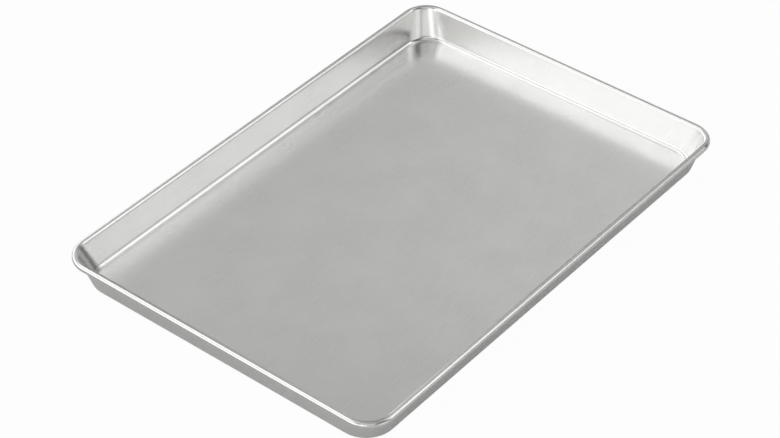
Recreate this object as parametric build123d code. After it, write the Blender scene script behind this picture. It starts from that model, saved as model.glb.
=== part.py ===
from build123d import *
from math import acos, cos, degrees, radians, sin, tan
import os

# Jelly roll pan, in millimetres. X runs along the length, Y across the width and Z up.
# The origin is the middle of the underside, where the pan rests.

# Length and width outside of the rolled rim, and depth from the top of the rim to the inner floor
overall_length = 412.75
overall_width = 285.75
inside_depth = 25.4

# Drawn sheet
sheet_thickness = 0.9
wall_lean = 11.0
floor_bend_radius = 4.5
foot_corner_radius = 24.0
rim_corner_radius = 22.0

# Rolled rim and the wire inside it
wire_diameter = 3.175
wire_clearance = 0.05
curl_edge_gap = 0.2
wire_end_gap = 1.0

# The roll is one sheet thickness round the wire
bore_radius = wire_diameter / 2 + wire_clearance
roll_radius = bore_radius + sheet_thickness
roll_height = sheet_thickness + inside_depth - roll_radius
roll_half_length = overall_length / 2 - roll_radius
roll_half_width = overall_width / 2 - roll_radius
roll_corner_radius = rim_corner_radius - roll_radius

# The wall runs down from the roll's middle height, tangent to the roll
lean = radians(wall_lean)
wall_breadth = sheet_thickness / cos(lean)
outer_face_setback = bore_radius / cos(lean)
wall_run = roll_height * tan(lean)

# The curled edge stops just short of the wall, at this angle from the wall's normal
curl_opening = acos((bore_radius - curl_edge_gap) / roll_radius)


def wall_outline(height, inset):
    """Plan outline of a wall face at a height, set in from the wall's outer face."""
    share = height / roll_height
    setback = outer_face_setback + wall_run * (1 - share) + inset
    top_radius = roll_corner_radius - outer_face_setback
    corner = foot_corner_radius + (top_radius - foot_corner_radius) * share - inset
    length = 2 * (roll_half_length - setback)
    width = 2 * (roll_half_width - setback)
    return Pos(0, 0, height) * RectangleRounded(length, width, corner)


def bowl(floor_height, inset, bend_radius):
    """Solid under one face of the sheet, with its floor edge rounded."""
    foot = wall_outline(floor_height, inset)
    top = wall_outline(roll_height, inset)
    body = loft([foot, top], ruled=True)
    return fillet(body.faces().sort_by(Axis.Z)[0].edges(), bend_radius)


def rim_ring(section):
    """Carries a section round the rim. Its x is measured from the axis of a rim corner."""
    long_run = 2 * (roll_half_length - roll_corner_radius)
    cross_run = 2 * (roll_half_width - roll_corner_radius)
    upright = Plane.XZ * section
    ring = []
    for turn, run in enumerate([cross_run, long_run, cross_run, long_run]):
        side = 1 if turn in (0, 3) else -1
        end = 1 if turn < 2 else -1
        centre = Pos(side * long_run / 2, end * cross_run / 2, 0)
        corner = revolve(upright, Axis.Z, 90)
        straight = extrude(upright, run)
        ring += [centre * Rot(0, 0, 90 * turn) * piece for piece in (corner, straight)]
    return Part() + ring


def on_roll(radius, angle):
    """Point of the rim's cross-section, about the middle of the roll."""
    return (roll_corner_radius + radius * cos(angle), roll_height + radius * sin(angle))


def curl_section():
    """Cross-section of the rolled edge, down to the top of the wall."""
    middle = on_roll(0, 0)
    start = radians(180) - lean
    finish = start + curl_opening
    sweep = 360 - degrees(curl_opening)
    inner_foot = (roll_corner_radius - roll_radius / cos(lean), roll_height)
    outer_foot = (roll_corner_radius - outer_face_setback, roll_height)
    return make_face([
        Line(inner_foot, on_roll(roll_radius, start)),
        CenterArc(middle, roll_radius, degrees(start), -sweep),
        Line(on_roll(roll_radius, finish), on_roll(bore_radius, finish)),
        CenterArc(middle, bore_radius, degrees(finish), sweep),
        Line(on_roll(bore_radius, start), outer_foot),
        Line(outer_foot, inner_foot),
    ])


def make_pan_shell():
    """One sheet: flat floor, leaning walls, drawn corners and the rolled edge."""
    outside = bowl(0, 0, floor_bend_radius + sheet_thickness)
    inside = bowl(sheet_thickness, wall_breadth, floor_bend_radius)
    return outside - inside + rim_ring(curl_section())


def make_rim_wire():
    """Round wire hoop inside the roll, its two ends nearly touching midway along one long side."""
    hoop = rim_ring(Pos(*on_roll(0, 0)) * Circle(wire_diameter / 2))
    cut = Box(wire_end_gap, 2 * wire_diameter, 2 * wire_diameter)
    return hoop - Pos(0, roll_half_width, roll_height) * cut


os.makedirs("parts", exist_ok=True)
export_step(make_pan_shell(), "parts/pan_shell.step")
export_step(make_rim_wire(), "parts/rim_wire.step")
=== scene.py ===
import bmesh
import bpy
from math import acos, asin, atan, cos, hypot, pi, radians, sin, tan
from mathutils import Matrix, Vector


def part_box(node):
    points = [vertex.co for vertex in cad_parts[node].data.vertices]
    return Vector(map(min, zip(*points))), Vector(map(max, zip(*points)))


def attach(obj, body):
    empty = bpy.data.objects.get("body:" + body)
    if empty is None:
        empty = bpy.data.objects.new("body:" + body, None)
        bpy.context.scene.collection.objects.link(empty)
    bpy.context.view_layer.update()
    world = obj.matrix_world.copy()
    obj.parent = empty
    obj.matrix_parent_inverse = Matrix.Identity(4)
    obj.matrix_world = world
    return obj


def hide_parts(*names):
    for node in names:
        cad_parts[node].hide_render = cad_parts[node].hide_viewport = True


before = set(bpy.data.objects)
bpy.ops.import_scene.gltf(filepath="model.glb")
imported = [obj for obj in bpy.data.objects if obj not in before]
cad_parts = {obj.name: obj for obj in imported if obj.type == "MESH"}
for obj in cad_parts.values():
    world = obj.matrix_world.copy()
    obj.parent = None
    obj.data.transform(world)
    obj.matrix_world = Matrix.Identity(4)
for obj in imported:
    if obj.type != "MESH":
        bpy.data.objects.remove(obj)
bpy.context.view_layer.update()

# Sizes in metres. The outside comes from the frame, and the rest are the sheet and wire sizes.
low_corner, high_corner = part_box("pan_shell")
half_length = (high_corner[0] - low_corner[0]) / 2
half_width = (high_corner[1] - low_corner[1]) / 2
pan_height = high_corner[2]
sheet = 0.0009
wire_radius = 0.0015875
wire_clearance = 0.00005
rim_corner = 0.022
foot_corner = 0.024
floor_bend = 0.0045
curl_gap = 0.0002
wall_lean = radians(11)

bore_radius = wire_radius + wire_clearance
roll_radius = bore_radius + sheet
roll_height = pan_height - roll_radius
path_length = half_length - roll_radius
path_width = half_width - roll_radius
path_corner = rim_corner - roll_radius
wall_breadth = sheet / cos(wall_lean)
foot_setback = bore_radius / cos(wall_lean) + roll_height * tan(wall_lean)
floor_setback = foot_setback + wall_breadth - sheet * tan(wall_lean)

# Mesh density, and a narrow ring of the flat floor that keeps its shading flat
corner_steps = 28
straight_steps = 36
bend_steps = 14
wall_steps = 6
roll_steps = 46
bore_steps = 24
flat_ring = 0.0005
crease = radians(50)

# Marks on the aluminium: how fine they are over the flat blank, and how much finer along each axis
grain_scale = 60.0
grain_stretch = (1, 40, 1)
fine_scale = 2600.0
cloud_scale = 24.0
haze_scale = 90.0
haze_stretch = (1, 3, 1)
scuff_stretch = (1, 60, 1)
scuff_range = (0.70, 0.74)
noise_range = (0.3, 0.7)
haze_range = (0.35, 0.65)
noise_roughness = 0.55

# Directions of the scuffs in degrees, each with how fine its set is
scuff_sets = [(24, 9.0), (-51, 7.0), (78, 11.0)]

# What each mark does to the roughness, the relief and the colour
cloud_roughness = (0.22, 0.26)
grain_roughness = 0.025
haze_roughness = 0.008
scuff_roughness = 0.03
grain_relief = 0.6
fine_relief = 0.4
scuff_relief = -0.15
relief_strength = 0.01
relief_depth = 0.0002
dull_tone = (0.855, 0.853, 0.843, 1)
bright_tone = (0.875, 0.872, 0.862, 1)

# Drawn wire
wire_scale = 900.0
wire_roughness = (0.35, 0.55)
wire_tone = (0.45, 0.45, 0.46, 1)

# The studio floor lies just under the pan. It looks white, and shows less of that white in gloss.
floor_size = 12.0
floor_drop = 0.0001
floor_scale = 3.0
floor_roughness = (0.85, 0.95)
floor_tone = (0.7, 0.7, 0.7, 1)
white_seen = 0.97
white_in_gloss = 0.1

# Camera: degrees, metres, and millimetres for the lens and the sensor
view_azimuth = -51.175
view_elevation = 39.421
view_roll = 0.171
view_distance = 1.8131
view_target = Vector((-0.0033, 0.0068, 0))
view_lens = 114.1
view_sensor = 36.0

# Soft light panels of the studio, in degrees: middle azimuth and elevation, half width, half height and
# softness of the edge. The last value is how bright the panel is, over the even light all round.
panels = {
    "back": (116, 11, 62, 24, 12, 1.65),
    "left": (190, 14, 20, 18, 10, 1.2),
    "front_low": (-141, 5, 24, 7, 6, 1.1),
    "front_side": (-92, 14, 18, 16, 8, 1.0),
    "front_high": (-141, 40, 26, 10, 10, 1.25),
    "fill": (-52, 24, 12, 14, 8, 1.2),
    "fill_high": (-42, 43, 16, 7, 8, 2.0),
    "right": (8, 20, 28, 12, 12, 0.6),
    "mirrored": (25, 40, 14, 8, 10, 0.72),
    "mirrored_side": (50, 40, 11, 8, 10, 0.64),
    "arch_right": (-15, 60, 34, 9, 10, 1.05),
    "arch_left": (115, 54, 50, 11, 12, 1.6),
    "high": (80, 76, 70, 12, 14, 0.6),
    "high_front": (-141, 70, 60, 9, 10, 1.0),
}
ambient = 0.08


def unit(angle):
    """Level direction at an angle from X."""
    return Vector((cos(angle), sin(angle), 0))


def stations():
    """Places round the pan: quarter, direction of the outward normal, and share of the straight."""
    found = []
    for quarter in range(4):
        for i in range(corner_steps):
            found.append((quarter, (quarter + i / corner_steps) * pi / 2, 0.0))
        for i in range(straight_steps):
            eased = 0.5 - 0.5 * cos(pi * i / straight_steps)
            found.append((quarter, (quarter + 1) * pi / 2, eased))
    return found


def outline_point(station, setback, corner, height):
    """Point of a rounded rectangle set in from the roll's middle line."""
    quarter, angle, share = station
    reach_x = path_length - setback - corner
    reach_y = path_width - setback - corner
    corners = [(reach_x, reach_y), (-reach_x, reach_y), (-reach_x, -reach_y), (reach_x, -reach_y)]
    here = Vector((*corners[quarter], height))
    there = Vector((*corners[(quarter + 1) % 4], height))
    return here.lerp(there, share) + corner * unit(angle)


def bend(start, middle, finish):
    """Arc from start to finish that is tangent to the lines to middle."""
    weight = cos((middle - start).angle(finish - middle) / 2)
    points = []
    for i in range(bend_steps + 1):
        t = i / bend_steps
        w0, w1, w2 = (1 - t) ** 2, 2 * t * (1 - t) * weight, t * t
        points.append((w0 * start + w1 * middle + w2 * finish) / (w0 + w1 + w2))
    return points


def face_section(station, setback, corner, floor_height, radius, bend_radius):
    """One face of the sheet from the flat floor up to the roll, and the wall's lean at this place."""
    foot = outline_point(station, setback, corner, floor_height)
    middle = outline_point(station, 0.0, path_corner, roll_height)
    normal = unit(station[1])
    away = (middle - foot).dot(normal)
    rise = roll_height - floor_height
    lean = atan(away / rise) - asin(radius / hypot(away, rise))
    top = middle - radius * cos(lean) * normal + Vector((0, 0, radius * sin(lean)))
    length = bend_radius * tan((pi / 2 - lean) / 2)
    arc = bend(foot - length * normal, foot, foot + length * (top - foot).normalized())
    wall = [arc[-1].lerp(top, i / wall_steps) for i in range(1, wall_steps + 1)]
    return [arc[0] - flat_ring * normal] + arc + wall, lean


def section(station):
    """Upper and lower face of the sheet at one place, each from the floor out to the curled edge."""
    normal = unit(station[1])
    middle = outline_point(station, 0.0, path_corner, roll_height)
    opening = acos((bore_radius - curl_gap) / roll_radius)
    upper, lean = face_section(
        station, floor_setback, foot_corner - wall_breadth, sheet, roll_radius, floor_bend)
    lower, lower_lean = face_section(
        station, foot_setback, foot_corner, 0.0, bore_radius, floor_bend + sheet)
    edge = opening - pi - lean

    def turned(radius, start, steps):
        angles = [start + (edge - start) * i / steps for i in range(1, steps + 1)]
        return [middle + radius * (cos(a) * normal + Vector((0, 0, sin(a)))) for a in angles]

    upper += turned(roll_radius, pi - lean, roll_steps)
    lower += turned(bore_radius, pi - lower_lean, bore_steps)
    return upper, lower


def flattened(points, station):
    """Where the points of a section lay on the flat blank before the pan was drawn."""
    run = 0.0
    places = []
    for point, before in zip(points, [points[0]] + points):
        run += (point - before).length
        places.append(Vector((points[0].x, points[0].y, 0)) + run * unit(station[1]))
    return places


def make_pan():
    """The drawn sheet as one closed mesh. Each point keeps its place on the flat blank for the grain."""
    mesh = bmesh.new()
    blank = mesh.verts.layers.float_vector.new("blank")
    rings = []
    for station in stations():
        upper, lower = section(station)
        places = flattened(upper, station) + flattened(lower, station)[::-1]
        ring = [mesh.verts.new(point) for point in upper + lower[::-1]]
        for vert, place in zip(ring, places):
            vert[blank] = place
        rings.append(ring)
    for ring, after in zip(rings, rings[1:] + rings[:1]):
        for j in range(len(ring) - 1):
            mesh.faces.new((ring[j], after[j], after[j + 1], ring[j + 1]))
    mesh.faces.new([ring[0] for ring in rings])
    mesh.faces.new([ring[-1] for ring in rings][::-1])
    bmesh.ops.recalc_face_normals(mesh, faces=mesh.faces)
    for face in mesh.faces:
        face.smooth = True
    for edge in mesh.edges:
        edge.smooth = edge.calc_face_angle() < crease
    data = bpy.data.meshes.new("pan_surface")
    mesh.to_mesh(data)
    mesh.free()
    pan = bpy.data.objects.new("pan_surface", data)
    bpy.context.collection.objects.link(pan)
    return pan


class Nodes:
    """Short names for building a node tree."""

    def __init__(self, holder):
        holder.use_nodes = True
        self.tree = holder.node_tree
        self.tree.nodes.clear()

    def add(self, kind, values=None, **settings):
        """New node. A value that is a socket is linked, and any other is set."""
        node = self.tree.nodes.new(kind)
        for key, value in settings.items():
            setattr(node, key, value)
        for key, value in (values or {}).items():
            if isinstance(value, bpy.types.NodeSocket):
                self.tree.links.new(value, node.inputs[key])
            else:
                node.inputs[key].default_value = value
        return node

    def math(self, operation, a, b=None, c=None):
        """Result of one sum."""
        values = {i: v for i, v in enumerate((a, b, c)) if v is not None}
        return self.add("ShaderNodeMath", values, operation=operation).outputs[0]

    def step(self, value, start, finish, low=0.0, high=1.0):
        """Smooth change from low to high while the value goes from start to finish."""
        values = {0: value, 1: start, 2: finish, 3: low, 4: high}
        return self.add("ShaderNodeMapRange", values, interpolation_type="SMOOTHSTEP").outputs[0]

    def noise(self, place, scale, detail=3.0, stretch=(1, 1, 1), turn=0.0):
        """Noise, finer along an axis where stretch is larger, and turned in the plane of the sheet."""
        values = {"Vector": place, "Scale": stretch, "Rotation": (0, 0, radians(turn))}
        moved = self.add("ShaderNodeMapping", values).outputs[0]
        values = {"Vector": moved, "Scale": scale, "Detail": detail, "Roughness": noise_roughness}
        return self.add("ShaderNodeTexNoise", values).outputs[0]

    def surface(self, shader, output="ShaderNodeOutputMaterial"):
        """Ends the tree with this shader."""
        self.tree.links.new(shader.outputs[0], self.add(output).inputs[0])


def pan_material():
    """Satin aluminium: rolled grain, cloudy finish, fine hazing and a few faint scuffs."""
    material = bpy.data.materials.new("satin_aluminium")
    n = Nodes(material)
    place = n.add("ShaderNodeAttribute", attribute_name="blank").outputs["Vector"]
    grain = n.noise(place, grain_scale, 4.0, grain_stretch)
    fine = n.noise(place, fine_scale, 2.0)
    cloud = n.noise(place, cloud_scale, 4.0)
    haze = n.noise(place, haze_scale, 5.0, haze_stretch)
    scuffs = 0.0
    for turn, scale in scuff_sets:
        streak = n.step(n.noise(place, scale, 2.0, scuff_stretch, turn), *scuff_range)
        scuffs = n.math("MAXIMUM", streak, scuffs)
    clouded = n.step(cloud, *noise_range, *cloud_roughness)
    grained = n.step(grain, *noise_range, -grain_roughness, grain_roughness)
    rough = n.math("ADD", clouded, grained)
    rough = n.math("ADD", rough, n.step(haze, *haze_range, -haze_roughness, haze_roughness))
    rough = n.math("MULTIPLY_ADD", scuffs, scuff_roughness, rough)
    height = n.math("MULTIPLY_ADD", grain, grain_relief, n.math("MULTIPLY", fine, fine_relief))
    height = n.math("MULTIPLY_ADD", scuffs, scuff_relief, height)
    values = {"Height": height, "Strength": relief_strength, "Distance": relief_depth}
    bump = n.add("ShaderNodeBump", values).outputs[0]
    values = {"Factor": n.step(haze, *noise_range), "A": dull_tone, "B": bright_tone}
    tone = n.add("ShaderNodeMix", values, data_type="RGBA").outputs["Result"]
    n.surface(n.add("ShaderNodeBsdfPrincipled", {
        "Base Color": tone, "Metallic": 1.0, "Roughness": rough, "Normal": bump}))
    return material


def wire_material():
    """Drawn steel wire, with fine marks along it."""
    material = bpy.data.materials.new("drawn_wire")
    n = Nodes(material)
    place = n.add("ShaderNodeTexCoord").outputs["Object"]
    rough = n.step(n.noise(place, wire_scale, 4.0), *noise_range, *wire_roughness)
    n.surface(n.add("ShaderNodeBsdfPrincipled", {
        "Base Color": wire_tone, "Metallic": 1.0, "Roughness": rough}))
    return material


def floor_material():
    """Pale matt floor, which looks white, keeps a trace of the pan's shadow and mirrors light grey."""
    material = bpy.data.materials.new("pale_floor")
    n = Nodes(material)
    place = n.add("ShaderNodeTexCoord").outputs["Object"]
    rough = n.step(n.noise(place, floor_scale), *noise_range, *floor_roughness)
    lit = n.add("ShaderNodeBsdfDiffuse", {"Color": floor_tone, "Roughness": rough}).outputs[0]
    white = n.add("ShaderNodeEmission", {"Strength": 1.0}).outputs[0]
    ray = n.add("ShaderNodeLightPath").outputs
    seen = n.math("MAXIMUM", ray["Is Camera Ray"], ray["Is Transmission Ray"])
    gloss = n.math("MULTIPLY", ray["Is Glossy Ray"], white_in_gloss)
    seen = n.math("MULTIPLY_ADD", seen, white_seen, gloss)
    n.surface(n.add("ShaderNodeMixShader", {0: seen, 1: lit, 2: white}))
    return material


def make_floor():
    """Wide flat floor of the studio."""
    mesh = bmesh.new()
    bmesh.ops.create_grid(mesh, x_segments=4, y_segments=4, size=floor_size)
    data = bpy.data.meshes.new("studio_floor")
    mesh.to_mesh(data)
    mesh.free()
    data.materials.append(floor_material())
    floor = bpy.data.objects.new("studio_floor", data)
    floor.location.z = -floor_drop
    bpy.context.collection.objects.link(floor)


def make_sky():
    """Even light all round, with the soft panels added to it."""
    world = bpy.data.worlds.new("studio_sky")
    bpy.context.scene.world = world
    n = Nodes(world)
    direction = n.add("ShaderNodeTexCoord").outputs["Generated"]
    x, y, z = n.add("ShaderNodeSeparateXYZ", {0: direction}).outputs
    azimuth = n.math("ARCTAN2", y, x)
    elevation = n.math("ARCSINE", z)
    light = ambient
    for az, el, wide, tall, soft, strength in panels.values():
        turned = n.math("WRAP", n.math("SUBTRACT", azimuth, radians(az)), pi, -pi)
        risen = n.math("SUBTRACT", elevation, radians(el))
        across = n.step(n.math("ABSOLUTE", turned), radians(wide + soft / 2), radians(wide - soft / 2))
        along = n.step(n.math("ABSOLUTE", risen), radians(tall + soft / 2), radians(tall - soft / 2))
        light = n.math("MULTIPLY_ADD", n.math("MULTIPLY", across, along), strength, light)
    n.surface(n.add("ShaderNodeBackground", {"Strength": light}), "ShaderNodeOutputWorld")


def make_camera():
    """Camera at the photographed view."""
    azimuth, elevation, roll = radians(view_azimuth), radians(view_elevation), radians(view_roll)
    back = Vector((sin(azimuth) * cos(elevation), -cos(azimuth) * cos(elevation), sin(elevation)))
    level = unit(azimuth)
    above = back.cross(level)
    across = cos(roll) * level + sin(roll) * above
    above = back.cross(across)
    data = bpy.data.cameras.new("view")
    data.sensor_width = view_sensor
    data.lens = view_lens
    camera = bpy.data.objects.new("view", data)
    turn = Matrix((across, above, back)).transposed()
    camera.matrix_world = Matrix.LocRotScale(view_target + view_distance * back, turn, None)
    bpy.context.collection.objects.link(camera)
    bpy.context.scene.camera = camera


pan = make_pan()
pan.data.materials.append(pan_material())
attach(pan, "root")
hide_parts("pan_shell")
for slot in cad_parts["rim_wire"].material_slots:
    slot.material = wire_material()
make_floor()
make_sky()
make_camera()
bpy.context.scene.view_settings.view_transform = "Standard"
